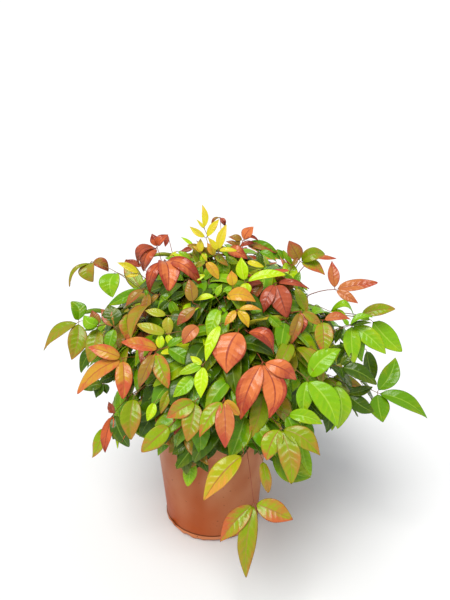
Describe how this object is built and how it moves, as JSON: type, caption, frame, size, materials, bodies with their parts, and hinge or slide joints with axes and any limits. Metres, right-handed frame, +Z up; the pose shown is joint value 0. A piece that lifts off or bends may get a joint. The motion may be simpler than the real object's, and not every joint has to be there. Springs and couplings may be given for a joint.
{
  "type": "potted heavenly bamboo",
  "caption": "Dwarf heavenly bamboo in a round tapered nursery pot: a low mounded crown of arching stalks and pointed leaflets, green to red.",
  "frame": {"origin": "centre of the pot's flat underside", "axes": "+Z up, -Y towards the front of the plant as pictured, +X to its right"},
  "size_m": [0.5017, 0.4721, 0.4921],
  "materials": {
    "pot": "terracotta-coloured, semi-gloss, slightly creased",
    "potting_mix": "dark, loose, chunky bark mix",
    "bark": "dull brown, ribbed lengthways",
    "foliage": "glossy leaflets, green, lime, orange and red"
  },
  "bodies": {
    "root": {"pot": "pot", "potting_mix": "potting_mix", "main_stem": "bark", "cane_top": "bark", "cane_crown_front": "bark", "cane_crown_right": "bark", "cane_crown_back": "bark", "cane_crown_left": "bark", "cane_front": "bark", "cane_front_right": "bark", "cane_back_right": "bark", "cane_back": "bark", "cane_back_left": "bark", "cane_front_left": "bark", "foliage_top": "foliage", "foliage_crown_front": "foliage", "foliage_crown_right": "foliage", "foliage_crown_back": "foliage", "foliage_crown_left": "foliage", "foliage_front": "foliage", "foliage_front_right": "foliage", "foliage_back_right": "foliage", "foliage_back": "foliage", "foliage_back_left": "foliage", "foliage_front_left": "foliage"}
  },
  "joints": []
}
